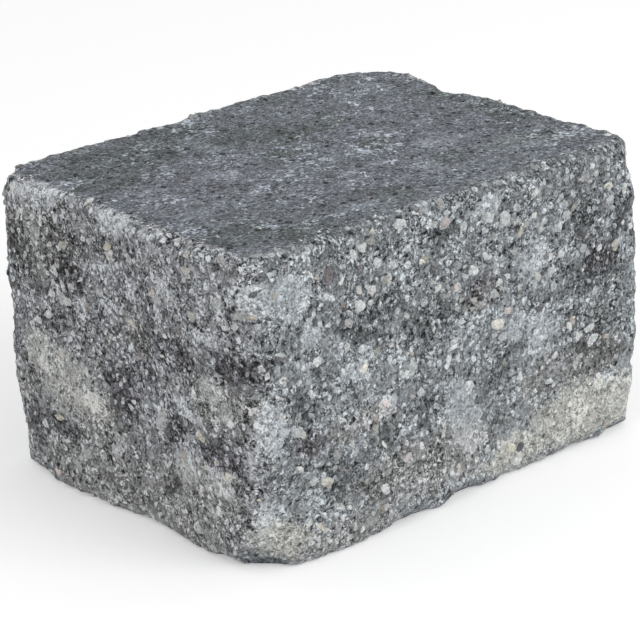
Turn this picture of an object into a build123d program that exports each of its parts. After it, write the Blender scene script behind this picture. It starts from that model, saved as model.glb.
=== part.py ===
from build123d import *

import os
from math import cos, pi, radians, sin, sqrt

# A tumbled concrete garden wall block, cast as one piece and worn round in a drum.
# The origin is the middle of the bottom bed. X runs along the long face, Y through the depth, Z up.
# The near long face looks towards -Y. Both beds are flat, the four sides wave gently,
# and the arrises are rounded, with shallow bites where the block was knocked.

# Driving dimensions, in millimetres
LENGTH = 240.0
DEPTH = 190.0
HEIGHT = 150.0
TOP_RIM_RADIUS = 5.5
BOTTOM_RIM_RADIUS = 5.5

# The upright corners as signs of X and Y, counter-clockwise from the near left one
CORNERS = ((-1, -1), (1, -1), (1, 1), (-1, 1))

# Levels of the loft: the height and the radii of the four corners there.
# The corners are tight at mid height and blunter at the beds, where they were knocked most.
LEVELS = (
    (0.0, (29.0, 9.0, 15.0, 14.0)),
    (0.3 * HEIGHT, (11.0, 4.5, 11.0, 10.0)),
    (0.7 * HEIGHT, (9.0, 4.0, 13.0, 11.5)),
    (HEIGHT, (14.0, 15.0, 31.0, 12.0)),
)

# The waves that moulding and tumbling leave on the -Y, +X, +Y and -X sides:
# cycles and phase along the side, height of the wave, and how far the whole side swells
SIDE_WAVES = (
    (1.0, 0.03, 3.2, 0.6),
    (1.0, 0.40, 1.2, -2.2),
    (1.5, 0.55, 1.2, -2.0),
    (1.0, 0.05, 3.4, 0.8),
)
# How far the waves shift along a side between the bottom and the top, in cycles
WAVE_TURN = 0.35

# Points of the outline's spline on each corner arc and on each side between two arcs
ARC_POINTS = 5
SIDE_POINTS = 6

# Bites out of the arrises: where each lies as fractions of half the length, half the depth and half
# the height, with 1 or -1 on an arris, then the radius of the bite and how far it reaches behind the arris
BITES = (
    (1, 0.30, 1, 20.0, 8.5),
    (1, 0.00, 1, 40.0, 3.4),
    (1, -0.40, 1, 30.0, 4.2),
    (-0.80, 1, 1, 32.0, 3.4),
    (0.40, 1, 1, 30.0, 3.8),
    (0.78, 1, 1, 26.0, 4.0),
    (-0.45, -1, 1, 40.0, 3.4),
    (0.35, -1, 1, 34.0, 3.8),
    (-1, 0.30, 1, 30.0, 3.8),
    (-1, -0.50, 1, 38.0, 3.4),
    (-1, -0.30, -1, 40.0, 4.0),
    (-1, -0.72, -1, 34.0, 4.2),
    (-0.26, -1, -1, 34.0, 4.0),
    (0.05, -1, -1, 28.0, 6.0),
    (0.28, -1, -1, 24.0, 4.8),
    (0.68, -1, -1, 50.0, 4.2),
    (1, -0.50, -1, 40.0, 4.0),
    (1, 0.12, -1, 30.0, 5.2),
    (0.20, 1, -1, 34.0, 5.0),
    (-0.55, 1, -1, 28.0, 4.6),
    (0.70, 1, -1, 40.0, 4.2),
    (-1, -1, 0.35, 30.0, 5.4),
    (-1, -1, -1, 60.0, 17.0),
    (-1, 1, 1, 40.0, 10.5),
    (0.90, -1, -1, 26.0, 6.0),
    (1, 1, 0.15, 30.0, 7.2),
    (-1, 1, 0.10, 40.0, 7.0),
)


def side_offset(side, fraction, height):
    """How far a side stands out at a fraction of its length. It fades to nothing at both corners."""
    cycles, phase, wave_height, swell = SIDE_WAVES[side]
    wave = wave_height * sin(2 * pi * (cycles * fraction + phase + WAVE_TURN * height / HEIGHT))
    return (wave + swell) * sqrt(sin(pi * fraction))


def corner_arc(corner, radius):
    """Points round the quarter circle of one upright corner."""
    sign_x, sign_y = CORNERS[corner]
    centre = Vector(sign_x * (LENGTH / 2 - radius), sign_y * (DEPTH / 2 - radius))
    start = 180 + 90 * corner
    angles = [radians(start + 90 * step / (ARC_POINTS - 1)) for step in range(ARC_POINTS)]
    return [centre + Vector(cos(angle), sin(angle)) * radius for angle in angles]


def outline(height, radii):
    """Points right round the block at one height, counter-clockwise from the near left corner."""
    arcs = [corner_arc(corner, radius) for corner, radius in enumerate(radii)]
    points = []
    for side in range(4):
        begin, end = arcs[side][-1], arcs[(side + 1) % 4][0]
        outward = Vector(0, -1).rotate(Axis.Z, 90 * side)
        points += arcs[side]
        for step in range(1, SIDE_POINTS + 1):
            fraction = step / (SIDE_POINTS + 1)
            points.append(begin + (end - begin) * fraction + outward * side_offset(side, fraction, height))
    return points


def bite_centre(place, radius, reach):
    """The middle of the sphere that takes one bite, outside the arris and square to it."""
    anchor = Vector(place[0] * LENGTH / 2, place[1] * DEPTH / 2, (place[2] + 1) * HEIGHT / 2)
    outward = Vector(*[part if abs(part) == 1 else 0 for part in place]).normalized()
    return anchor + outward * (radius - reach)


with BuildPart() as worn:
    for level, corner_radii in LEVELS:
        with BuildSketch(Plane.XY.offset(level)):
            with BuildLine():
                Spline(*outline(level, corner_radii), periodic=True)
            make_face()
    loft()
    beds = worn.faces().filter_by(GeomType.PLANE).sort_by(Axis.Z)
    fillet(beds[-1].edges(), TOP_RIM_RADIUS)
    beds = worn.faces().filter_by(GeomType.PLANE).sort_by(Axis.Z)
    fillet(beds[0].edges(), BOTTOM_RIM_RADIUS)
    for *place, bite_radius, reach in BITES:
        with Locations(bite_centre(place, bite_radius, reach)):
            Sphere(bite_radius, mode=Mode.SUBTRACT)

# The waves leave the block a little off centre, so it is set square over the origin
middle = worn.part.bounding_box().center()
with BuildPart() as wall_block:
    with Locations((-middle.X, -middle.Y, 0)):
        add(worn.part)

os.makedirs("parts", exist_ok=True)
wall_block.part.label = "wall_block"
export_step(wall_block.part, "parts/wall_block.step")
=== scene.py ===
import math
from random import Random

import bmesh
import bpy
from bpy.props import FloatProperty, FloatVectorProperty, IntProperty, PointerProperty
from mathutils import Matrix, Quaternion, Vector
from mathutils.bvhtree import BVHTree


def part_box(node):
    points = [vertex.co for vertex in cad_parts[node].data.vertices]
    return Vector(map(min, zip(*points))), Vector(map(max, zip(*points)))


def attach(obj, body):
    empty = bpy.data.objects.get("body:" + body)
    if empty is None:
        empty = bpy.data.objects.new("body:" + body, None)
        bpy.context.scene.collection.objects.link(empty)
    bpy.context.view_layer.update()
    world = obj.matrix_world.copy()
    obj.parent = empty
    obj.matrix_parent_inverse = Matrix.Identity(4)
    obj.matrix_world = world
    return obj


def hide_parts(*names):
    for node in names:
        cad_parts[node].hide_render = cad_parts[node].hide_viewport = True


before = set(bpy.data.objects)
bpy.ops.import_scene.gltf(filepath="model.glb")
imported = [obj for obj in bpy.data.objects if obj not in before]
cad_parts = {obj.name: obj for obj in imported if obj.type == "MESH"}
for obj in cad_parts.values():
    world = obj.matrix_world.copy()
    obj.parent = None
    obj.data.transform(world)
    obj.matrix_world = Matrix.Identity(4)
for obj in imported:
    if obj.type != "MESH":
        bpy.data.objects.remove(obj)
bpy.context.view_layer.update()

bl_info = {
    "name": "Garden Wall Block",
    "version": (1, 0, 0),
    "blender": (4, 5, 0),
    "location": "View3D > Sidebar > Wall Block",
    "description": "Dresses a tumbled concrete wall block with worn relief, exposed aggregate and colouring",
    "category": "Object",
}

# The box of the frame in metres, and the solid's corners, middle and half size in millimetres
MM = 1000.0
BLOCK_LOW, BLOCK_HIGH = (Vector(corner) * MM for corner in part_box("wall_block"))
MIDDLE = (BLOCK_LOW + BLOCK_HIGH) / 2
HALF = (BLOCK_HIGH - BLOCK_LOW) / 2

# The marbling, in millimetres: where the middle of each patch lies and how far it spreads along X, Y and Z
PATCHES = {
    "pale": (
        ((-96, -95, 130), (13, 18, 13)), ((-112, -95, 132), (9, 18, 9)), ((-84, -95, 110), (7, 10, 9)),
        ((-110, -95, 72), (9, 12, 15)), ((50, -95, 106), (9, 10, 18)), ((57, -95, 68), (9, 10, 15)),
        ((42, -95, 74), (7, 10, 9)), ((2, -95, 47), (13, 12, 13)), ((11, -95, 34), (14, 12, 12)),
        ((-60, -95, 86), (10, 8, 6)), ((-42, -95, 63), (8, 8, 5)), ((82, -95, 22), (9, 12, 9)),
        ((100, -95, 33), (9, 10, 5)), ((-114, -95, 30), (8, 10, 9)), ((20, -95, 140), (10, 8, 8)),
        ((-120, 60, 147), (12, 20, 6)), ((-120, -10, 114), (8, 7, 9)), ((-120, -40, 125), (8, 9, 8)),
        ((-120, -65, 110), (8, 9, 4)), ((-120, -68, 85), (8, 10, 8)), ((-120, -78, 75), (8, 7, 7)),
        ((-120, -50, 70), (8, 15, 4)), ((-120, -24, 58), (8, 6, 10)), ((-120, 10, 35), (8, 10, 6)),
        ((-120, -44, 42), (8, 13, 11)), ((-120, -68, 40), (8, 14, 10)), ((-120, -90, 55), (8, 6, 10)),
        ((-120, 24, 52), (8, 8, 8)), ((-120, 62, 62), (8, 6, 5)), ((-120, 30, 100), (8, 5, 7)),
        ((-28, 42, 150), (5, 9, 12)), ((-50, 6, 150), (9, 8, 12)), ((-86, 12, 150), (7, 6, 12)),
        ((-90, -28, 150), (11, 7, 12)), ((25, -52, 150), (9, 12, 12)), ((6, -34, 150), (18, 5, 12)),
        ((-116, 2, 150), (6, 20, 12)), ((-30, -72, 150), (20, 5, 12)), ((40, 4, 150), (8, 9, 12)),
        ((56, -28, 150), (18, 11, 12)), ((20, 78, 150), (8, 5, 12)), ((84, 62, 150), (16, 10, 12)),
        ((74, -58, 150), (22, 13, 12)), ((120, 34, 80), (12, 9, 15)), ((120, 22, 62), (12, 10, 9)),
        ((120, -50, 60), (12, 9, 12)), ((120, 70, 120), (12, 12, 7)), ((120, -22, 34), (12, 7, 10)),
        ((120, -64, 122), (12, 8, 9)), ((-48, 95, 56), (12, 12, 9)), ((-34, 95, 44), (11, 12, 14)),
        ((60, 95, 116), (9, 12, 14)), ((66, 95, 92), (8, 12, 8)), ((20, 95, 70), (8, 12, 12)),
        ((-84, 95, 116), (11, 12, 7)),
    ),
    "beige": (
        ((80, -95, 20), (38, 18, 19)), ((110, -95, 18), (18, 16, 18)), ((40, -95, 12), (26, 14, 11)),
        ((-106, -95, 16), (18, 20, 12)), ((-120, 44, 58), (10, 25, 19)), ((-120, 62, 66), (10, 16, 13)),
        ((-120, 22, 50), (10, 14, 9)), ((120, -50, 18), (14, 30, 16)), ((10, 95, 16), (50, 14, 14)),
    ),
    "warm": (
        ((-20, -95, 26), (60, 10, 18)), ((-75, -95, 8), (40, 16, 10)), ((56, -95, 46), (16, 10, 12)),
        ((88, -95, 46), (28, 10, 12)), ((-60, -95, 60), (22, 10, 8)), ((20, -95, 96), (20, 10, 7)),
        ((-120, 0, 14), (10, 90, 24)), ((-120, 60, 122), (12, 34, 22)), ((-120, -12, 92), (10, 16, 10)),
        ((-120, 74, 52), (12, 14, 14)), ((-120, -45, 32), (10, 50, 16)), ((-120, -74, 80), (10, 26, 16)),
        ((-120, 20, 44), (10, 22, 14)), ((0, 95, 30), (90, 12, 20)), ((120, 0, 20), (12, 90, 22)),
    ),
    "dark": (
        ((92, -95, 92), (25, 10, 16)), ((82, -95, 120), (13, 10, 18)), ((107, -95, 112), (9, 12, 14)),
        ((88, -95, 60), (22, 10, 14)), ((100, -95, 44), (13, 10, 7)), ((-8, -95, 134), (13, 8, 7)),
        ((-50, -95, 108), (26, 8, 12)), ((-15, -95, 92), (20, 8, 16)), ((-15, -95, 52), (11, 8, 9)),
        ((-74, -95, 40), (14, 8, 14)), ((-92, -95, 76), (9, 8, 12)), ((-110, -95, 100), (10, 8, 9)),
        ((25, -95, 32), (9, 8, 6)), ((-50, -95, 24), (14, 8, 7)), ((-44, -95, 50), (8, 8, 9)),
        ((30, -95, 60), (9, 8, 8)), ((-120, 76, 118), (10, 14, 21)), ((-120, 45, 124), (10, 19, 17)),
        ((-120, -15, 92), (10, 13, 9)), ((-120, 52, 88), (10, 16, 7)), ((-120, -35, 52), (8, 7, 8)),
        ((-120, -44, 62), (8, 10, 6)), ((-120, 76, 26), (10, 12, 15)), ((-120, 44, 33), (10, 16, 7)),
        ((-120, -30, 28), (8, 8, 10)), ((-120, -88, 28), (8, 8, 8)), ((-120, 10, 132), (8, 14, 8)),
        ((120, -24, 112), (10, 18, 12)), ((120, 8, 104), (10, 14, 17)), ((120, 64, 54), (10, 13, 9)),
        ((120, 48, 40), (10, 9, 13)), ((-72, 95, 118), (19, 10, 9)), ((-46, 95, 102), (15, 10, 13)),
        ((58, 95, 58), (13, 10, 9)), ((40, 95, 44), (14, 10, 12)), ((-98, 95, 74), (9, 10, 14)),
        ((8, 95, 128), (16, 10, 7)),
    ),
    "violet": (
        ((-120, 4, 62), (10, 18, 19)), ((-120, -12, 77), (10, 16, 8)), ((-120, -70, 54), (10, 17, 11)),
        ((-120, -82, 99), (10, 13, 9)), ((-120, -42, 95), (10, 18, 10)), ((-120, 34, 110), (10, 14, 9)),
        ((96, -95, 98), (12, 10, 12)), ((20, -95, 98), (13, 10, 10)), ((-88, -95, 58), (10, 10, 8)),
        ((-60, 5, 150), (44, 30, 14)), ((55, 10, 150), (52, 44, 14)), ((-10, -50, 150), (40, 26, 14)),
        ((70, -30, 150), (36, 18, 14)), ((-60, 70, 150), (20, 20, 14)), ((120, 50, 90), (10, 18, 16)),
    ),
    "olive": (
        ((-70, 62, 150), (40, 24, 12)), ((-6, 46, 150), (24, 18, 12)), ((10, 31, 150), (22, 11, 12)),
        ((-78, 62, 150), (9, 8, 12)), ((-94, 37, 150), (20, 13, 12)), ((-82, 76, 150), (7, 9, 12)),
        ((-20, 78, 150), (14, 11, 12)), ((43, 79, 150), (12, 8, 12)), ((-14, -70, 150), (14, 13, 12)),
        ((42, -50, 150), (18, 9, 12)), ((76, -54, 150), (16, 10, 12)), ((-98, -62, 150), (20, 16, 12)),
        ((95, -62, 150), (10, 10, 12)), ((-12, 12, 150), (12, 9, 12)), ((30, -8, 150), (8, 10, 12)),
        ((-72, -80, 150), (20, 12, 12)), ((104, 30, 150), (10, 16, 12)), ((106, -18, 150), (11, 26, 12)),
        ((-38, 76, 150), (22, 12, 12)), ((36, 34, 150), (18, 14, 12)),
    ),
}

# Places where the worn outline stands out or falls back further, in millimetres: middle, reach and height
SWELLS = (
    ((121, -96, 22), 17, 2.6), ((121, -96, 46), 14, 1.1), ((121, -96, 118), 20, 1.3),
    ((121, -62, 150), 12, 0.9), ((2, 97, 149), 17, 1.5), ((2, -97, 2), 9, 0.9), ((-17, -97, 2), 9, -2.4),
    ((-52, -97, 2), 12, -1.1), ((-121, -66, 2), 20, -1.2), ((-121, 74, 4), 18, -1.3),
    ((84, -97, 3), 20, -1.1), ((108, 92, 149), 20, -0.9), ((-121, 96, 78), 22, -1.1),
)

# Tints of single stones. A tone is times such a tint.
GREY, CREAM, PINK = (0.96, 1.0, 1.0), (1.02, 1.0, 0.91), (1.05, 0.98, 0.96)
YELLOW, BROWN = (1.03, 1.0, 0.84), (1.02, 0.97, 1.0)

# Single stones that catch the eye: middle, width and height, in millimetres, then tone and tint
SINGLE_STONES = (
    ((-82, -95, 96), 6.5, 5, 0.84, GREY), ((-56, -95, 85), 7, 7, 0.86, CREAM),
    ((-44, -95, 64), 6, 5, 0.82, PINK), ((-76, -95, 124), 5.5, 4.5, 0.78, GREY),
    ((-102, -95, 93), 5.5, 4.5, 0.78, GREY), ((-74, -95, 133), 6, 10, 0.40, BROWN),
    ((-52, -95, 140), 5.5, 5.5, 0.76, GREY), ((-44, -95, 131), 6, 5, 0.78, GREY),
    ((-37, -95, 121), 4.5, 4, 0.72, CREAM), ((-34, -95, 127), 7, 5, 0.74, GREY),
    ((-57, -95, 114), 5.5, 5.5, 0.76, GREY), ((-2, -95, 138), 6, 6, 0.66, PINK),
    ((8, -95, 134), 5, 5, 0.72, GREY), ((24, -95, 135), 6, 7, 0.76, GREY),
    ((33, -95, 132), 6, 8, 0.74, GREY), ((14, -95, 111), 6.5, 5.5, 0.80, GREY),
    ((5, -95, 106), 4.5, 6, 0.76, PINK), ((29, -95, 80), 8.5, 6, 0.82, CREAM),
    ((36, -95, 85), 6, 4, 0.78, PINK), ((32, -95, 73), 5.5, 4, 0.72, GREY),
    ((89, -95, 56), 9, 5, 0.76, GREY), ((87, -95, 63), 8, 5, 0.76, GREY), ((76, -95, 69), 4, 4, 0.68, PINK),
    ((100, -95, 131), 7, 3.5, 0.78, CREAM), ((101, -95, 124), 6, 5, 0.72, GREY),
    ((90, -95, 81), 6, 5, 0.70, GREY), ((71, -95, 124), 5.5, 5, 0.70, GREY),
    ((36, -95, 15), 7, 5, 0.80, YELLOW), ((10, -95, 55), 6, 5.5, 0.82, GREY),
    ((-80, -95, 38), 8, 6, 0.76, CREAM), ((-88, -95, 41), 5.5, 5, 0.72, GREY),
    ((-33, -95, 34), 7, 5, 0.72, PINK), ((-26, -95, 75), 5, 8, 0.72, GREY),
    ((40, -95, 7), 6, 5, 0.84, GREY), ((-29, -95, 145), 9, 4.5, 0.74, GREY),
    ((55, -95, 122), 5, 6, 0.70, GREY), ((-10, -95, 118), 5, 5, 0.36, BROWN),
    ((62, -95, 98), 5, 6, 0.72, GREY), ((-96, -95, 66), 6, 5, 0.70, GREY),
    ((104, -95, 100), 5, 6, 0.66, CREAM), ((82, -95, 104), 5, 5, 0.66, GREY),
    ((-16, -95, 104), 5, 4.5, 0.72, GREY), ((-120, 8, 133), 7, 3.5, 0.74, YELLOW),
    ((-120, 42, 125), 5.5, 5, 0.68, CREAM), ((-120, -6, 100), 8, 3.5, 0.76, CREAM),
    ((-120, -58, 60), 6, 5, 0.76, YELLOW), ((-120, -75, 46), 7, 4.5, 0.82, CREAM),
    ((-120, -24, 57), 7, 12, 0.72, GREY), ((-120, 52, 37), 9, 3.5, 0.74, YELLOW),
    ((-120, -56, 139), 7, 3.5, 0.72, CREAM), ((-120, 17, 108), 5, 6, 0.72, GREY),
    ((-120, 44, 99), 6, 5, 0.68, GREY), ((-120, 66, 70), 5, 5, 0.66, GREY),
    ((-120, -32, 118), 7, 5, 0.70, GREY), ((-120, -74, 128), 7, 6, 0.72, GREY),
    ((-120, 30, 24), 6, 6, 0.68, GREY), ((-120, -50, 12), 7, 5, 0.70, GREY),
    ((-120, 62, 128), 6, 6, 0.64, GREY), ((-120, -10, 132), 7, 5, 0.72, GREY),
    ((-120, -84, 120), 6, 5, 0.74, GREY),
)
# The Y of the single stones on the near side. The others lie on the -X side.
NEAR_SIDE = -95
# Half their thickness, how deep their middles lie and how far their corners are shaken, in metres, and how
# far they roll, in radians
SINGLE_THICKNESS, SINGLE_DEPTH, SINGLE_SHAKE, SINGLE_ROLL = 0.0011, 0.0004, 0.00045, 0.4

# Tints of the scattered stones: places along a ramp, and the tint there
GREY_TINTS = ((0.0, (0.93, 1.0, 1.03)), (0.6, (0.98, 1.0, 1.0)), (1.0, (1.0, 1.0, 0.95)))
DULL_TINTS = ((0.0, (0.93, 1.0, 1.04)), (0.7, (0.98, 0.99, 1.06)), (1.0, (1.10, 1.0, 0.99)))
WARM_TINTS = (
    (0.0, (1.03, 1.0, 0.82)), (0.4, (1.05, 1.0, 0.90)), (0.7, (1.12, 0.98, 0.92)), (1.0, (1.08, 1.0, 0.88)),
)

# The scattered stones: range of tones, tints, spacing times that of the pale ones, cover, and a place of
# their own for their clusters, in millimetres
SCATTERED_STONES = (
    ("pale_stones", (0.56, 0.84), GREY_TINTS, 1.0, 1.0, (0.0, 0.0, 0.0)),
    ("dark_stones", (0.36, 0.50), DULL_TINTS, 1.6, 0.6, (300.0, 0.0, 0.0)),
    ("warm_stones", (0.52, 0.78), WARM_TINTS, 2.6, 0.6, (0.0, 300.0, 0.0)),
)
# The range in which they are stretched, how far they tilt, in radians, and how far they are shaken, in metres
STONE_STRETCH = ((0.75, 0.5, 0.32), (1.35, 0.95, 0.5))
STONE_TILT, STONE_SHAKE = 0.25, 0.0024

# What the marbling adds to the mortar's tone on the sides and on the beds, and how far it takes on its tint
MARBLING_TONES = {
    "pale": (0.20, 0.07), "beige": (0.21, 0.21), "dark": (-0.14, -0.14), "violet": (-0.15, 0.0),
    "olive": (-0.06, -0.06),
}
VIOLET_SHARE, OLIVE_SHARE, WARM_SHARE = 0.9, 0.9, 0.7
# On the other sides and on the -X side: what is added low down and high up, the share of the beige tint,
# and the contrast and the tone about which it swings
LOW_TONES, HIGH_TONES, BEIGE_SHARES = (0.03, 0.055), (-0.04, 0.045), (0.9, 0.6)
SIDE_CONTRASTS, SIDE_CENTRES = (0.94, 1.15), (0.55, 0.53)
# What is added on the worn rims
RIM_TONE = 0.015

# Worms of cement, grains and sand: size in millimetres, tones on the sides and on the beds, twist, softness
# of the edges, and whether they are crisp in some places and smooth in others
TEXTURES = (
    (8.0, (0.075, 0.06), 1.0, 0.10, False),
    (4.2, (0.10, 0.09), 2.4, 0.09, False),
    (1.9, (0.11, 0.13), 1.8, 0.11, True),
    (0.85, (0.28, 0.18), 0.0, 0.25, True),
)
# Sizes in millimetres and tones of the finer features. Grit and sand range between two tones from grain to
# grain, and flecks have one tone on the sides and one on the beds.
# The tone of the crevices between grains is painted shade.
GRIT_SIZE, GRIT_TONES, CREVICE_SHADE_TONE = 3.6, (-0.08, 0.27), -0.18
SAND_SIZE, SAND_TONES = 1.7, (-0.15, 0.18)
# The pore tone is painted shade in each pore and pinhole.
PORE_SIZE, PINHOLE_SIZE, PORE_SHADE_TONE = 3.6, 2.6, -0.29
FLECK_SIZE, FLECK_TONES = 4.2, (0.18, 0.30)
# The nick tone is painted shade in each nick on the beds.
NICK_SIZE, NICK_SHADE_TONE = 8.0, -0.30

# The film of cement on the stones: its tone and its share where it is thickest
FILM_TONE, FILM_SHARE = 0.52, 0.55

# How far the beds' relief may stand above the solid, in metres
BED_RELIEF = 0.0012

# The stage: places in metres, angles in degrees, and the width of each lamp
CAMERA_PLACE = (-0.764349, -0.919892, 0.538974)
CAMERA_YAW, CAMERA_PITCH, CAMERA_LEAN = -39.7, 21.6, -2.53
KEY_LAMP = ((0.55, -1.75, 1.25), 1.3)
FILL_LAMP = ((-1.9, -0.5, 0.9), 1.2)
LAMP_AIM = (0.0, 0.0, 0.07)
FLOOR_RADIUS, FLOOR_DROP = 8.0, 0.0001
FLOOR_COLOUR, FLOOR_GLOW = (0.84, 0.84, 0.84, 1.0), 0.27


class Bench:
    """Puts nodes on a tree. An input that is given a socket is linked to it, and any other value is set."""

    def __init__(self, tree):
        self.tree = tree

    def put(self, kind, inputs=None, **settings):
        node = self.tree.nodes.new(kind)
        for name, value in settings.items():
            setattr(node, name, value)
        for name, value in (inputs or {}).items():
            self.give(node.inputs[name], value)
        return node

    def give(self, socket, value):
        if isinstance(value, bpy.types.NodeSocket):
            self.tree.links.new(value, socket)
        elif value is not None:
            socket.default_value = value

    def math(self, operation, first, second=None, third=None):
        return self.put("ShaderNodeMath", {0: first, 1: second, 2: third}, operation=operation).outputs[0]

    def times(self, first, second):
        return self.math("MULTIPLY", first, second)

    def vector(self, operation, first, second=None, output="Vector"):
        return self.put("ShaderNodeVectorMath", {0: first, 1: second}, operation=operation).outputs[output]

    def scaled(self, vector, factor):
        return self.put("ShaderNodeVectorMath", {0: vector, "Scale": factor}, operation="SCALE").outputs[0]

    def parts(self, vector):
        """The X, Y and Z of a vector."""
        return self.put("ShaderNodeSeparateXYZ", {0: vector}).outputs

    def step(self, value, low, high, start=0.0, end=1.0):
        """A smooth step from start to end as the value goes from low to high."""
        inputs = {"Value": value, "From Min": low, "From Max": high, "To Min": start, "To Max": end}
        return self.put("ShaderNodeMapRange", inputs, interpolation_type="SMOOTHSTEP").outputs["Result"]

    def between(self, share, start, end):
        """Start where the share is 0, and end where it is 1."""
        return self.step(share, 0.0, 1.0, start, end)

    def swing(self, value, height, base):
        """The base moved up and down as the value swings about 0.5."""
        return self.math("MULTIPLY_ADD", self.math("SUBTRACT", value, 0.5), height, base)

    def shift(self, share, height, base):
        """The base moved by the height where the share is 1."""
        return self.math("MULTIPLY_ADD", share, height, base)

    def noise(self, where, grain, detail=2.0, roughness=0.5, distortion=0.0, output="Fac"):
        """Noise whose lumps are about grain millimetres across, centred on 0.5."""
        inputs = {"Vector": where, "Scale": 1.0 / grain, "Detail": detail, "Roughness": roughness,
                  "Distortion": distortion}
        return self.put("ShaderNodeTexNoise", inputs, noise_dimensions="3D").outputs[output]

    def cells(self, where, grain, feature="F1", smoothness=None):
        """Random cells about grain millimetres across."""
        inputs = {"Vector": where, "Scale": 1.0 / grain, "Randomness": 1.0}
        if smoothness is not None:
            inputs["Smoothness"] = smoothness
        return self.put("ShaderNodeTexVoronoi", inputs, voronoi_dimensions="3D", feature=feature).outputs

    def luck(self, cells):
        """A random value for each cell."""
        return self.put("ShaderNodeSeparateColor", {0: cells["Color"]}).outputs[0]

    def shaken(self, where, grain, reach):
        """The place moved about by noise, so that what is drawn there has broken edges."""
        shake = self.vector("SUBTRACT", self.noise(where, grain, output="Color"), (0.5, 0.5, 0.5))
        return self.vector("ADD", where, self.scaled(shake, 2.0 * reach))

    def blend(self, share, first, second):
        node = self.put("ShaderNodeMix", data_type="RGBA", blend_type="MIX", clamp_factor=True)
        for socket, value in ((node.inputs[0], share), (node.inputs[6], first), (node.inputs[7], second)):
            self.give(socket, value)
        return node.outputs[2]

    def ramp(self, value, stops):
        """The tint at a place along a ramp."""
        node = self.put("ShaderNodeValToRGB", {"Fac": value})
        elements = node.color_ramp.elements
        while len(elements) < len(stops):
            elements.new(1.0)
        for element, (position, tint) in zip(elements, stops):
            element.position = position
            element.color = (*tint, 1.0)
        return node.outputs["Color"]

    def stored(self, name):
        """A value of a material's surface that a Geometry Nodes tree has stored."""
        return self.put("ShaderNodeAttribute", attribute_name=name).outputs["Fac"]

    def store(self, geometry, name, value, domain="POINT"):
        return self.put("GeometryNodeStoreNamedAttribute", {
            "Geometry": geometry, "Name": name, "Value": value}, data_type="FLOAT", domain=domain).outputs[0]

    def moved(self, geometry, offset):
        return self.put("GeometryNodeSetPosition", {"Geometry": geometry, "Offset": offset}).outputs[0]

    def random(self, seed, low=0.0, high=1.0):
        """A random number, or a random vector between two vectors."""
        if isinstance(low, tuple):
            inputs = {0: low, 1: high, "Seed": seed}
            return self.put("FunctionNodeRandomValue", inputs, data_type="FLOAT_VECTOR").outputs[0]
        inputs = {2: low, 3: high, "Seed": seed}
        return self.put("FunctionNodeRandomValue", inputs, data_type="FLOAT").outputs[1]


def new_tree(name, kinds):
    """A Geometry Nodes tree with inputs of the given kinds, its bench, and its inputs' sockets."""
    tree = bpy.data.node_groups.new(name, "GeometryNodeTree")
    tree.interface.new_socket(name="Geometry", in_out="INPUT", socket_type="NodeSocketGeometry")
    for label, kind in kinds.items():
        tree.interface.new_socket(name=label, in_out="INPUT", socket_type="NodeSocket" + kind)
    tree.interface.new_socket(name="Geometry", in_out="OUTPUT", socket_type="NodeSocketGeometry")
    bench = Bench(tree)
    return tree, bench, bench.put("NodeGroupInput").outputs


def run_tree(piece, tree, values):
    """Puts a Geometry Nodes modifier with the given inputs on a piece."""
    modifier = piece.modifiers.new(tree.name, "NODES")
    modifier.node_group = tree
    for item in tree.interface.items_tree:
        if item.in_out == "INPUT" and item.name in values:
            modifier[item.identifier] = values[item.name]


def place_in_tree(bench):
    """The place of each point, in millimetres."""
    return bench.scaled(bench.put("GeometryNodeInputPosition").outputs[0], MM)


def levelled(bench, geometry, highest=None):
    """The geometry with nothing under the bottom bed, and nothing over the highest Z where one is given."""
    place = bench.parts(bench.put("GeometryNodeInputPosition").outputs[0])
    height = bench.math("MAXIMUM", place[2], BLOCK_LOW.z / MM)
    if highest is not None:
        height = bench.math("MINIMUM", height, highest)
    level = bench.put("ShaderNodeCombineXYZ", {"X": place[0], "Y": place[1], "Z": height}).outputs[0]
    return bench.put("GeometryNodeSetPosition", {"Geometry": geometry, "Position": level}).outputs[0]


def finished(bench, geometry, material, smooth):
    """Ends a tree: the geometry is shaded, realized and given its material."""
    shading = {"Geometry": geometry, "Shade Smooth": smooth}
    geometry = bench.put("GeometryNodeSetShadeSmooth", shading).outputs[0]
    geometry = bench.put("GeometryNodeRealizeInstances", {"Geometry": geometry}).outputs[0]
    geometry = bench.put("GeometryNodeSetMaterial", {"Geometry": geometry, "Material": material}).outputs[0]
    bench.put("NodeGroupOutput", {"Geometry": geometry})


def face_distances(bench, where):
    """How far a place lies behind the nearest side, the nearest bed and the nearest arris, in millimetres."""
    centred = bench.vector("SUBTRACT", where, tuple(MIDDLE))
    inward = bench.parts(bench.vector("SUBTRACT", tuple(HALF), bench.vector("ABSOLUTE", centred)))
    low, high = bench.math("MINIMUM", inward[0], inward[1]), bench.math("MAXIMUM", inward[0], inward[1])
    arris = bench.math("MAXIMUM", low, bench.math("MINIMUM", high, inward[2]))
    return {"side": low, "bed": inward[2], "arris": arris}


def bed_share(bench, distances):
    """1 on the two beds, 0 on the sides and on the worn band round the beds."""
    return bench.times(bench.step(distances["bed"], 7.0, 3.0), bench.step(distances["side"], 4.0, 14.0))


def with_marbling(bench, geometry, where, values):
    """Stores the values, and how deep each point lies in every kind of patch, whose edges are torn."""
    torn = where
    for grain, reach in ((20.0, 6.0), (8.0, 4.0), (3.5, 2.0)):
        torn = bench.shaken(torn, grain, reach)
    for kind, patches in PATCHES.items():
        depth = -1.0
        for middle, spread in patches:
            offset = bench.vector("DIVIDE", bench.vector("SUBTRACT", torn, middle), spread)
            inside = bench.math("SUBTRACT", 1.0, bench.vector("LENGTH", offset, output="Value"))
            depth = bench.math("MAXIMUM", depth, inside)
        values[kind] = depth
    for name, value in values.items():
        geometry = bench.store(geometry, name, value)
    return geometry


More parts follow.
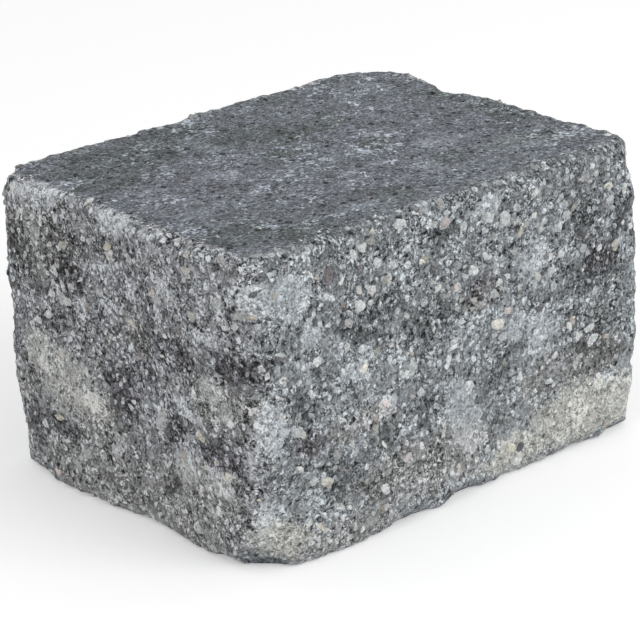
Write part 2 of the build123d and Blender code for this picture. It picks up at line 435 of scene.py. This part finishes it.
def relief_tree():
    """Moves the skin along its normals: lumps, joints between grains, pits, broken arrises and swells."""
    tree, bench, given = new_tree("Worn Relief", {
        "Lump Height": "Float", "Grain Height": "Float", "Pit Depth": "Float", "Arris Loss": "Float",
        "Fullness": "Float", "Material": "Material",
    })
    where = place_in_tree(bench)
    distances = face_distances(bench, where)
    beds = bed_share(bench, distances)
    marbled = with_marbling(bench, given["Geometry"], where, {
        "bed": beds, "rim": bench.step(distances["arris"], 10.0, 1.0)})

    lump = bench.math("SUBTRACT", bench.noise(where, 14.0, detail=3.0, roughness=0.55), 0.5)
    height = bench.times(bench.times(lump, bench.between(beds, 2.6, 0.9)), given["Lump Height"])

    jagged = bench.shaken(where, 5.0, 1.5)
    joint = bench.cells(jagged, 5.0, feature="SMOOTH_F1", smoothness=0.3)["Distance"]
    grain = bench.times(bench.math("SUBTRACT", 0.45, joint), bench.between(beds, 1.6, 0.3))
    height = bench.shift(grain, given["Grain Height"], height)

    pit = bench.step(bench.cells(jagged, 11.0)["Distance"], 0.26, 0.10)
    height = bench.math("SUBTRACT", height, bench.times(pit, given["Pit Depth"]))

    broken = bench.step(bench.noise(where, 13.0, detail=2.0, roughness=0.6), 0.47, 0.66)
    nicked = bench.step(bench.cells(jagged, 8.0)["Distance"], 0.45, 0.15)
    loss = bench.times(bench.shift(nicked, 0.45, broken), bench.step(distances["arris"], 11.0, 2.0))
    height = bench.math("SUBTRACT", height, bench.times(loss, given["Arris Loss"]))

    height = bench.shift(bench.between(beds, 1.0, 0.0), given["Fullness"], height)
    for middle, reach, amount in SWELLS:
        away = bench.vector("DISTANCE", where, middle, output="Value")
        height = bench.shift(bench.step(away, reach, 0.0), amount, height)

    normal = bench.put("GeometryNodeInputNormal").outputs[0]
    moved = bench.moved(marbled, bench.scaled(normal, bench.times(height, 1.0 / MM)))
    level = levelled(bench, moved, BLOCK_HIGH.z / MM + BED_RELIEF)
    finished(bench, level, given["Material"], True)
    return tree


def aggregate_tree():
    """Scatters crushed stones over the sides, sunk in so that only their flat tops stand out."""
    tree, bench, given = new_tree("Exposed Aggregate", {
        "Spacing": "Float", "Smallest": "Float", "Largest": "Float", "Sinking": "Float", "Cover": "Float",
        "Cluster Place": "Vector", "Seed": "Int", "Material": "Material",
    })
    where = place_in_tree(bench)
    stored = {name: bench.put("GeometryNodeInputNamedAttribute", {"Name": name}, data_type="FLOAT").outputs[0]
              for name in ("bed", "rim", "pale", "beige")}

    # Stones lie in clusters, are rarer under smears and on the beds' rims, and don't lie on the beds
    crowded = bench.noise(bench.vector("ADD", where, given["Cluster Place"]), 22.0)
    smeared = bench.math("MAXIMUM", stored["pale"], stored["beige"])
    cover = bench.times(bench.step(crowded, 0.36, 0.56, 0.45, 1.0), bench.step(smeared, 0.0, 0.4, 1.0, 0.4))
    cover = bench.times(cover, given["Cover"])
    cover = bench.times(cover, bench.math("SUBTRACT", 1.0, stored["bed"]))
    cover = bench.times(cover, bench.step(stored["rim"], 0.45, 0.85, 1.0, 0.15))
    scatter = bench.put("GeometryNodeDistributePointsOnFaces", {
        "Mesh": given["Geometry"], "Distance Min": given["Spacing"],
        "Density Max": bench.math("DIVIDE", 0.9, bench.times(given["Spacing"], given["Spacing"])),
        "Density Factor": cover, "Seed": given["Seed"],
    }, distribute_method="POISSON").outputs

    # Most stones are small. Each is flat, and sunk by a share of its thickness.
    growth = bench.math("POWER", bench.random(1), 2.2)
    size = bench.shift(growth, bench.math("SUBTRACT", given["Largest"], given["Smallest"]), given["Smallest"])
    radii = bench.scaled(bench.random(2, *STONE_STRETCH), bench.times(size, 0.5))
    sinking = bench.times(bench.parts(radii)[2], given["Sinking"])
    seats = bench.moved(scatter["Points"], bench.scaled(scatter["Normal"], bench.times(sinking, -1.0)))
    spin = bench.random(3, (-STONE_TILT, -STONE_TILT, 0.0), (STONE_TILT, STONE_TILT, 2.0 * math.pi))
    spin = bench.put("FunctionNodeEulerToRotation", {0: spin}).outputs[0]
    turned = bench.put(
        "FunctionNodeRotateRotation", {0: scatter["Rotation"], 1: spin}, rotation_space="LOCAL")
    stone = bench.put("GeometryNodeMeshIcoSphere", {"Radius": 1.0, "Subdivisions": 1}).outputs["Mesh"]
    stones = bench.put("GeometryNodeInstanceOnPoints", {
        "Points": seats, "Instance": stone, "Rotation": turned.outputs[0], "Scale": radii}).outputs[0]
    stones = bench.store(stones, "stone_tone", bench.random(4), domain="INSTANCE")
    stones = bench.put("GeometryNodeRealizeInstances", {"Geometry": stones}).outputs[0]

    shake = bench.vector("SUBTRACT", bench.noise(where, 1.5, detail=0.0, output="Color"), (0.5, 0.5, 0.5))
    stones = bench.moved(stones, bench.scaled(shake, STONE_SHAKE))
    finished(bench, levelled(bench, stones), given["Material"], False)
    return tree


def rock_material(name):
    """A new material, the bench that it is built on, its shader, and the place in millimetres."""
    material = bpy.data.materials.new(name)
    material.use_nodes = True
    material.node_tree.nodes.clear()
    bench = Bench(material.node_tree)
    shader = bench.put("ShaderNodeBsdfPrincipled")
    shader.inputs["Specular IOR Level"].default_value = 0.35
    bench.put("ShaderNodeOutputMaterial", {"Surface": shader.outputs[0]})
    where = bench.scaled(bench.put("ShaderNodeTexCoord").outputs["Object"], MM)
    return material, bench, shader, where


def painted(bench, shader, tone, tint):
    """Gives the shader its colour. The tone is the lightness to the eye, and the tint is what it is times."""
    light = bench.math("POWER", bench.math("MINIMUM", bench.math("MAXIMUM", tone, 0.07), 0.93), 2.2)
    bench.give(shader.inputs["Base Color"], bench.scaled(tint, light))


def roughened(bench, shader, rough, bumps, strength, distance):
    """Gives the shader its roughness and its fine bumps."""
    bench.give(shader.inputs["Roughness"], rough)
    bump = bench.put("ShaderNodeBump", {"Height": bumps, "Strength": strength, "Distance": distance})
    bench.give(shader.inputs["Normal"], bump.outputs[0])


def mortar_shares(bench, where):
    """How far each place belongs to every kind of marbling, to the beds, the sides and the rims."""
    ragged = bench.noise(where, 4.6, detail=4.0, roughness=0.72, distortion=0.6)
    shares = {}
    for kind in PATCHES:
        soft_edge = (-0.15, 0.40) if kind == "beige" else (0.0, 0.28)
        shares[kind] = bench.step(bench.swing(ragged, 1.7, bench.stored(kind)), *soft_edge)
    shares["bed"] = bench.step(bench.swing(ragged, 1.6, bench.stored("bed")), 0.3, 0.7)
    shares["rim"] = bench.step(bench.swing(ragged, 2.0, bench.stored("rim")), 0.2, 0.9)
    shares["side"] = bench.math("SUBTRACT", 1.0, shares["bed"])
    shares["smeared"] = bench.math("MAXIMUM", shares["pale"], shares["beige"])
    place = bench.parts(where)
    shares["left"] = bench.step(place[0], BLOCK_LOW.x + 16.0, BLOCK_LOW.x + 6.0)
    shares["low"] = bench.step(place[2], 42.0, 16.0)
    shares["high"] = bench.times(bench.step(place[2], 95.0, 140.0), shares["side"])
    return shares


def marbled_tone(bench, where, shares, colours):
    """The tone of the mortar, which drifts over the faces and follows the marbling."""
    beds, left = shares["bed"], shares["left"]
    drift = bench.noise(where, 24.0, detail=2.0, roughness=0.6)
    tone = bench.between(beds, colours.side_tone, colours.bed_tone)
    tone = bench.swing(drift, bench.between(beds, 0.10, 0.13), tone)
    tone = bench.shift(shares["low"], bench.between(left, *LOW_TONES), tone)
    tone = bench.shift(shares["high"], bench.between(left, *HIGH_TONES), tone)
    for kind, tones in MARBLING_TONES.items():
        tone = bench.shift(shares[kind], bench.between(beds, *tones), tone)
    return bench.shift(shares["rim"], RIM_TONE, tone)


def with_grains(bench, where, jagged, shares, tone):
    """The tone with worms of cement, grains and sand, and where the grit stands out."""
    crisp = bench.step(bench.noise(where, 11.0, detail=2.0, roughness=0.6), 0.38, 0.62, 0.55, 1.42)
    crisp = bench.between(shares["bed"], crisp, 0.85)
    for size, tones, twist, soft, varied in TEXTURES:
        lumps = bench.noise(jagged, size, detail=1.0, distortion=twist)
        height = bench.between(shares["bed"], *tones)
        height = bench.times(height, crisp) if varied else height
        tone = bench.swing(bench.step(lumps, 0.5 - soft, 0.5 + soft), height, tone)

    # Grit: broken grains, each of one tone, with painted shade in the crevices between some of them
    grit = bench.cells(jagged, GRIT_SIZE)
    body = bench.times(bench.step(grit["Distance"], 0.48, 0.41), shares["side"])
    body = bench.times(body, bench.between(shares["smeared"], 1.0, 0.6))
    tone = bench.shift(body, bench.step(bench.luck(grit), 0.25, 1.0, *GRIT_TONES), tone)
    # Painted shade in the crevices between grains
    crevice_shade = bench.step(bench.cells(jagged, GRIT_SIZE, feature="DISTANCE_TO_EDGE")["Distance"], 0.10, 0.03)
    crevice_shade = bench.times(crevice_shade, bench.step(bench.noise(where, 3.0, detail=1.0), 0.50, 0.58))
    tone = bench.shift(bench.times(crevice_shade, shares["side"]), CREVICE_SHADE_TONE, tone)

    sand = bench.cells(jagged, SAND_SIZE)
    sand_body = bench.times(bench.step(sand["Distance"], 0.52, 0.44), crisp)
    return bench.shift(sand_body, bench.between(bench.luck(sand), *SAND_TONES), tone), body


def with_pores(bench, where, jagged, shares, tone):
    """The tone with painted shade in each pore and pinhole and in each nick on the beds, torn pale flecks,
    and where each pore lies.
    """
    torn = bench.shaken(jagged, 1.6, 1.3)
    shaded_pores = bench.cells(torn, PORE_SIZE)
    shaded_pores = bench.times(bench.step(shaded_pores["Distance"], 0.27, 0.19), bench.step(bench.luck(shaded_pores), 0.36, 0.32))
    shaded_pores = bench.math("MAXIMUM", shaded_pores, bench.step(bench.cells(torn, PINHOLE_SIZE)["Distance"], 0.17, 0.08))
    # Painted shade in each pore and pinhole
    tone = bench.shift(shaded_pores, PORE_SHADE_TONE, tone)

    gathered = bench.noise(where, 26.0, detail=1.0)
    flecks = bench.noise(jagged, FLECK_SIZE, detail=3.0, roughness=0.6, distortion=1.4)
    flecks = bench.step(bench.swing(gathered, 0.40, flecks), 0.62, 0.655)
    tone = bench.shift(flecks, bench.between(shares["bed"], *FLECK_TONES), tone)

    # Painted shade in each nick on the beds
    shaded_nicks = bench.cells(torn, NICK_SIZE)
    shaded_nicks = bench.times(bench.step(shaded_nicks["Distance"], 0.23, 0.16), bench.step(bench.luck(shaded_nicks), 0.50, 0.46))
    return bench.shift(bench.times(shaded_nicks, shares["bed"]), NICK_SHADE_TONE, tone), shaded_pores


def contrasted(bench, where, shares, tone):
    """The tone with the contrast of its place: less low down on the sides and where cement is smeared."""
    contrast = bench.between(shares["left"], *SIDE_CONTRASTS)
    contrast = bench.times(contrast, bench.step(bench.parts(where)[2], 30.0, 130.0, 0.93, 1.04))
    contrast = bench.times(contrast, bench.between(shares["smeared"], 1.0, 0.84))
    contrast = bench.between(shares["bed"], contrast, 1.0)
    tone = bench.math("SUBTRACT", tone, SIDE_CENTRES[0])
    return bench.math("MULTIPLY_ADD", tone, contrast, bench.between(shares["left"], *SIDE_CENTRES))


def mortar_tint(bench, shares, colours):
    """The tint of the mortar's place and of its marbling."""
    tint = bench.blend(shares["left"], colours.side_tint, colours.left_tint)
    tint = bench.blend(shares["bed"], tint, colours.bed_tint)
    violet = bench.blend(shares["bed"], colours.violet_tint, colours.bed_violet_tint)
    tint = bench.blend(bench.times(shares["violet"], VIOLET_SHARE), tint, violet)
    tint = bench.blend(bench.times(shares["olive"], OLIVE_SHARE), tint, colours.olive_tint)
    tint = bench.blend(bench.times(shares["warm"], WARM_SHARE), tint, colours.warm_tint)
    beige = bench.times(shares["beige"], bench.between(shares["left"], *BEIGE_SHARES))
    return bench.blend(beige, tint, colours.beige_tint)


def mortar_material(colours):
    """Mortar and fine aggregate: the colour of the skin between the larger stones."""
    material, bench, shader, where = rock_material("worn_mortar")
    jagged = bench.shaken(where, 2.2, 1.0)
    shares = mortar_shares(bench, where)
    tone = marbled_tone(bench, where, shares, colours)
    tone, grit = with_grains(bench, where, jagged, shares, tone)
    tone, shaded_pores = with_pores(bench, where, jagged, shares, tone)
    tone = contrasted(bench, where, shares, tone)
    painted(bench, shader, tone, mortar_tint(bench, shares, colours))

    rough = bench.step(bench.noise(where, 3.0), 0.3, 0.7, 0.78, 0.95)
    fine = bench.noise(where, 1.0, detail=3.0, roughness=0.65)
    bumps = bench.shift(grit, 0.6, bench.times(fine, 1.2))
    roughened(bench, shader, rough, bench.shift(shaded_pores, -1.5, bumps), 1.0, 0.0008)
    return material


def stone_material(name, tones=None, tints=None):
    """Crushed stone filmed with cement. Where no tones and tints are given, each stone has its own."""
    material, bench, shader, where = rock_material(name)
    tone = bench.stored("stone_tone")
    if tints:
        tint = bench.ramp(bench.math("FRACT", bench.times(tone, 17.0)), tints)
        tone = bench.between(tone, *tones)
    else:
        tint = bench.put("ShaderNodeAttribute", attribute_name="stone_tint").outputs["Color"]
    ragged = bench.noise(where, 2.4, detail=4.0, roughness=0.7)
    film = bench.times(bench.step(ragged, 0.50, 0.62), FILM_SHARE)
    tone = bench.math("MULTIPLY_ADD", bench.math("SUBTRACT", FILM_TONE, tone), film, tone)
    for grain, height in ((1.7, 0.22), (0.85, 0.28)):
        tone = bench.swing(bench.noise(where, grain, detail=1.0), height, tone)
    specks = bench.step(bench.cells(where, PINHOLE_SIZE)["Distance"], 0.17, 0.10)
    painted(bench, shader, bench.shift(specks, -0.25, tone), tint)
    rough = bench.step(ragged, 0.3, 0.7, 0.62, 0.88)
    roughened(bench, shader, rough, bench.noise(where, 1.0, detail=3.0), 0.8, 0.0005)
    return material


def merged_copy(node, name):
    """A new object with the mesh of a CAD node, whose loose triangles are joined."""
    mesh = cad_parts[node].data.copy()
    mesh.name = name
    welded = bmesh.new()
    welded.from_mesh(mesh)
    bmesh.ops.remove_doubles(welded, verts=welded.verts, dist=1e-6)
    welded.to_mesh(mesh)
    welded.free()
    return new_piece(name, mesh)


def new_piece(name, content):
    """A new object in the scene."""
    piece = bpy.data.objects.new(name, content)
    bpy.context.scene.collection.objects.link(piece)
    return piece


def settle(piece, material):
    """Turns a piece with modifiers into a plain mesh that has one material."""
    graph = bpy.context.evaluated_depsgraph_get()
    done = piece.evaluated_get(graph)
    mesh = bpy.data.meshes.new_from_object(done, preserve_all_data_layers=True, depsgraph=graph)
    piece.modifiers.clear()
    piece.data = mesh
    mesh.name = piece.name
    mesh.materials.clear()
    mesh.materials.append(material)
    mesh.polygons.foreach_set("material_index", [0] * len(mesh.polygons))


def finished_skin():
    """The skin, into which the stones are set."""
    if "block_skin" not in bpy.data.objects:
        raise RuntimeError("the stones are set into the skin, which has to be made first")
    return bpy.data.objects["block_skin"]


class WallBlockSkinSettings(bpy.types.PropertyGroup):
    grid: FloatProperty(
        name="Grid", description="Size of the skin's mesh", default=0.0016, min=0.001, unit="LENGTH")
    lump_height: FloatProperty(
        name="Lump Height", description="Height of the lumps", default=0.0009, unit="LENGTH")
    grain_height: FloatProperty(
        name="Grain Height", description="Height of the grains", default=0.0007, unit="LENGTH")
    pit_depth: FloatProperty(name="Pit Depth", description="Depth of the pits", default=0.0009, unit="LENGTH")
    arris_loss: FloatProperty(
        name="Arris Loss", description="Depth of the broken arrises", default=0.0013, unit="LENGTH")
    fullness: FloatProperty(
        name="Fullness", description="How far the sides' skin stands out", default=0.0005, unit="LENGTH")


class WallBlockAggregateSettings(bpy.types.PropertyGroup):
    spacing: FloatProperty(
        name="Spacing", description="Least distance between pale stones", default=0.0046, unit="LENGTH")
    smallest: FloatProperty(name="Smallest", description="Smallest stone", default=0.0021, unit="LENGTH")
    largest: FloatProperty(name="Largest", description="Largest stone", default=0.0070, unit="LENGTH")
    sinking: FloatProperty(
        name="Sinking", description="Share of half its thickness that a stone is sunk",
        default=0.5, min=0, max=1, subtype="FACTOR")
    seed: IntProperty(name="Seed", description="Seed of the scatter", default=7)


class WallBlockColours(bpy.types.PropertyGroup):
    side_tone: FloatProperty(
        name="Side Tone", description="Lightness of the sides to the eye",
        default=0.536, min=0, max=1, subtype="FACTOR")
    bed_tone: FloatProperty(
        name="Bed Tone", description="Lightness of the beds to the eye",
        default=0.446, min=0, max=1, subtype="FACTOR")
    side_tint: FloatVectorProperty(
        name="Side Tint", description="Tint of the sides",
        default=(0.928, 1, 1.053, 1), size=4, subtype="COLOR")
    left_tint: FloatVectorProperty(
        name="Left Tint", description="Tint of the -X side",
        default=(0.965, 1, 1.05, 1), size=4, subtype="COLOR")
    bed_tint: FloatVectorProperty(
        name="Bed Tint", description="Tint of the beds",
        default=(0.892, 0.980, 1.103, 1), size=4, subtype="COLOR")
    violet_tint: FloatVectorProperty(
        name="Violet Tint", description="Tint of the violet marbling",
        default=(0.985, 0.985, 1.08, 1), size=4, subtype="COLOR")
    bed_violet_tint: FloatVectorProperty(
        name="Bed Violet Tint", description="Tint of the beds' violet marbling",
        default=(0.925, 0.98, 1.125, 1), size=4, subtype="COLOR")
    olive_tint: FloatVectorProperty(
        name="Olive Tint", description="Tint of the beds' olive marbling",
        default=(0.885, 1, 1.035, 1), size=4, subtype="COLOR")
    warm_tint: FloatVectorProperty(
        name="Warm Tint", description="Tint of the warmer grey marbling",
        default=(1, 1, 0.99, 1), size=4, subtype="COLOR")
    beige_tint: FloatVectorProperty(
        name="Beige Tint", description="Tint of the beige marbling",
        default=(0.995, 1, 0.925, 1), size=4, subtype="COLOR")


class WallBlockStageSettings(bpy.types.PropertyGroup):
    key_power: FloatProperty(
        name="Key Power", description="Power of the lamp at the camera's right", default=18.5, unit="POWER")
    fill_power: FloatProperty(
        name="Fill Power", description="Power of the lamp at the camera's left", default=4.6, unit="POWER")
    sky_strength: FloatProperty(name="Sky Strength", description="Strength of the even light", default=0.72)
    focal_length: FloatProperty(
        name="Focal Length", description="Focal length of the camera", default=149.5, unit="CAMERA")


class WALLBLOCK_OT_skin(bpy.types.Operator):
    """Makes the worn skin that stands for the cast solid"""
    bl_idname = "wallblock.skin"
    bl_label = "Worn Skin"

    def execute(self, context):
        settings = context.scene.wall_block_skin
        skin = merged_copy("wall_block", "block_skin")
        remesh = skin.modifiers.new("Even Grid", "REMESH")
        remesh.mode = "VOXEL"
        remesh.voxel_size = settings.grid
        material = mortar_material(context.scene.wall_block_colours)
        run_tree(skin, relief_tree(), {
            "Lump Height": settings.lump_height * MM, "Grain Height": settings.grain_height * MM,
            "Pit Depth": settings.pit_depth * MM, "Arris Loss": settings.arris_loss * MM,
            "Fullness": settings.fullness * MM, "Material": material,
        })
        settle(skin, material)
        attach(skin, "root")
        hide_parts("wall_block")
        return {"FINISHED"}


class WALLBLOCK_OT_aggregate(bpy.types.Operator):
    """Sets the pale, dark and warm stones into the skin"""
    bl_idname = "wallblock.aggregate"
    bl_label = "Exposed Aggregate"

    def execute(self, context):
        skin = finished_skin()
        settings = context.scene.wall_block_aggregate
        tree = aggregate_tree()
        for order, (name, tones, tints, spacing, cover, cluster) in enumerate(SCATTERED_STONES):
            stones = new_piece(name, skin.data.copy())
            material = stone_material(name, tones, tints)
            run_tree(stones, tree, {
                "Spacing": settings.spacing * spacing, "Smallest": settings.smallest,
                "Largest": settings.largest, "Sinking": settings.sinking, "Cover": cover,
                "Cluster Place": cluster, "Seed": settings.seed + order, "Material": material,
            })
            settle(stones, material)
            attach(stones, "root")
        return {"FINISHED"}


class WALLBLOCK_OT_single_stones(bpy.types.Operator):
    """Sets the stones that catch the eye into the skin, one by one"""
    bl_idname = "wallblock.single_stones"
    bl_label = "Single Stones"

    def execute(self, context):
        skin = BVHTree.FromObject(finished_skin(), context.evaluated_depsgraph_get())
        luck = Random(context.scene.wall_block_aggregate.seed)
        shape = bmesh.new()
        tone_layer = shape.verts.layers.float.new("stone_tone")
        tint_layer = shape.verts.layers.float_color.new("stone_tint")
        for middle, width, height, tone, tint in SINGLE_STONES:
            outward = Vector((0, -1, 0)) if middle[1] == NEAR_SIDE else Vector((-1, 0, 0))
            seat = skin.find_nearest(Vector(middle) / MM)[0]
            turn = outward.to_track_quat("Z", "Y").to_matrix().to_4x4()
            size = Matrix.Diagonal((width / 2 / MM, height / 2 / MM, SINGLE_THICKNESS, 1.0))
            roll = Matrix.Rotation(luck.uniform(-SINGLE_ROLL, SINGLE_ROLL), 4, "Z")
            place = Matrix.Translation(seat - outward * SINGLE_DEPTH) @ turn @ roll @ size
            stone = bmesh.ops.create_icosphere(shape, subdivisions=2, radius=1.0, matrix=place)
            for corner in stone["verts"]:
                corner.co += Vector([luck.uniform(-SINGLE_SHAKE, SINGLE_SHAKE) for _ in range(3)])
                corner[tone_layer] = tone
                corner[tint_layer] = (*tint, 1.0)
        mesh = bpy.data.meshes.new("single_stones")
        shape.to_mesh(mesh)
        shape.free()
        mesh.materials.append(stone_material("single_stones"))
        stones = new_piece("single_stones", mesh)
        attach(stones, "root")
        return {"FINISHED"}


class WALLBLOCK_OT_stage(bpy.types.Operator):
    """Makes the pale floor, the soft lights and the camera"""
    bl_idname = "wallblock.stage"
    bl_label = "Photo Stage"

    def execute(self, context):
        settings = context.scene.wall_block_stage
        self.make_floor()
        self.make_sky(context, settings.sky_strength)
        self.add_lamp("key_lamp", *KEY_LAMP, settings.key_power)
        self.add_lamp("fill_lamp", *FILL_LAMP, settings.fill_power)
        lens = bpy.data.cameras.new("photo_camera")
        lens.lens = settings.focal_length
        lens.sensor_width = 36.0
        lens.clip_start = 0.05
        camera = new_piece("photo_camera", lens)
        camera.location = CAMERA_PLACE
        camera.rotation_euler = camera_turn()
        context.scene.camera = camera
        context.scene.view_settings.view_transform = "Standard"
        return {"FINISHED"}

    def make_floor(self):
        """A wide pale disc. It shows near white where no shadow falls."""
        disc = bmesh.new()
        bmesh.ops.create_circle(disc, cap_ends=True, segments=96, radius=FLOOR_RADIUS)
        mesh = bpy.data.meshes.new("floor")
        disc.to_mesh(mesh)
        disc.free()
        floor = new_piece("floor", mesh)
        floor.location.z = -FLOOR_DROP
        material = bpy.data.materials.new("pale_floor")
        material.use_nodes = True
        material.node_tree.nodes.clear()
        bench = Bench(material.node_tree)
        matt = bench.put("ShaderNodeBsdfDiffuse", {"Color": FLOOR_COLOUR})
        glow = bench.put("ShaderNodeEmission", {"Strength": bench.times(background_rays(bench), FLOOR_GLOW)})
        both = bench.put("ShaderNodeAddShader", {0: matt.outputs[0], 1: glow.outputs[0]})
        bench.put("ShaderNodeOutputMaterial", {"Surface": both.outputs[0]})
        mesh.materials.append(material)

    def make_sky(self, context, strength):
        """An even light that shows as white behind the block."""
        world = bpy.data.worlds.new("even_sky")
        world.use_nodes = True
        world.node_tree.nodes.clear()
        bench = Bench(world.node_tree)
        level = bench.shift(background_rays(bench), 1.0 - strength, strength)
        light = bench.put("ShaderNodeBackground", {"Color": (1.0, 1.0, 1.0, 1.0), "Strength": level})
        bench.put("ShaderNodeOutputWorld", {"Surface": light.outputs[0]})
        context.scene.world = world

    def add_lamp(self, name, place, width, power):
        """A square lamp that shines on the block."""
        lamp = bpy.data.lights.new(name, "AREA")
        lamp.size = width
        lamp.energy = power
        holder = new_piece(name, lamp)
        holder.location = place
        holder.rotation_euler = (Vector(LAMP_AIM) - Vector(place)).to_track_quat("-Z", "Y").to_euler()


def background_rays(bench):
    """1 on rays from the camera, and on those that gloss and glass send on, which show a white background."""
    rays = bench.put("ShaderNodeLightPath").outputs
    seen = bench.math("MAXIMUM", rays["Is Camera Ray"], rays["Is Glossy Ray"])
    return bench.math("MAXIMUM", seen, rays["Is Transmission Ray"])


def camera_turn():
    """The camera's rotation: it looks down on the near corner and leans a little to one side."""
    yaw, pitch, lean = (math.radians(angle) for angle in (CAMERA_YAW, CAMERA_PITCH, CAMERA_LEAN))
    back = Vector((math.sin(yaw) * math.cos(pitch), -math.cos(yaw) * math.cos(pitch), math.sin(pitch)))
    return (back.to_track_quat("Z", "Y") @ Quaternion((0, 0, 1), lean)).to_euler()


class WALLBLOCK_PT_panel(bpy.types.Panel):
    """Sizes and colours of the wall block"""
    bl_idname = "WALLBLOCK_PT_panel"
    bl_label = "Wall Block"
    bl_space_type = "VIEW_3D"
    bl_region_type = "UI"
    bl_category = "Wall Block"

    def draw(self, context):
        for operator in OPERATORS:
            self.layout.operator(operator.bl_idname)
        for group in SETTINGS:
            column = self.layout.column()
            settings = getattr(context.scene, group)
            for name in settings.__annotations__:
                column.prop(settings, name)


SETTINGS = {
    "wall_block_skin": WallBlockSkinSettings,
    "wall_block_aggregate": WallBlockAggregateSettings,
    "wall_block_colours": WallBlockColours,
    "wall_block_stage": WallBlockStageSettings,
}
OPERATORS = (WALLBLOCK_OT_skin, WALLBLOCK_OT_aggregate, WALLBLOCK_OT_single_stones, WALLBLOCK_OT_stage)
CLASSES = (*SETTINGS.values(), *OPERATORS, WALLBLOCK_PT_panel)


def register():
    for group in CLASSES:
        bpy.utils.register_class(group)
    for name, group in SETTINGS.items():
        setattr(bpy.types.Scene, name, PointerProperty(type=group))


def unregister():
    for name in SETTINGS:
        delattr(bpy.types.Scene, name)
    for group in reversed(CLASSES):
        bpy.utils.unregister_class(group)


def main():
    register()
    bpy.ops.wallblock.skin()
    bpy.ops.wallblock.aggregate()
    bpy.ops.wallblock.single_stones()
    bpy.ops.wallblock.stage()


if __name__ == "__main__":
    main()
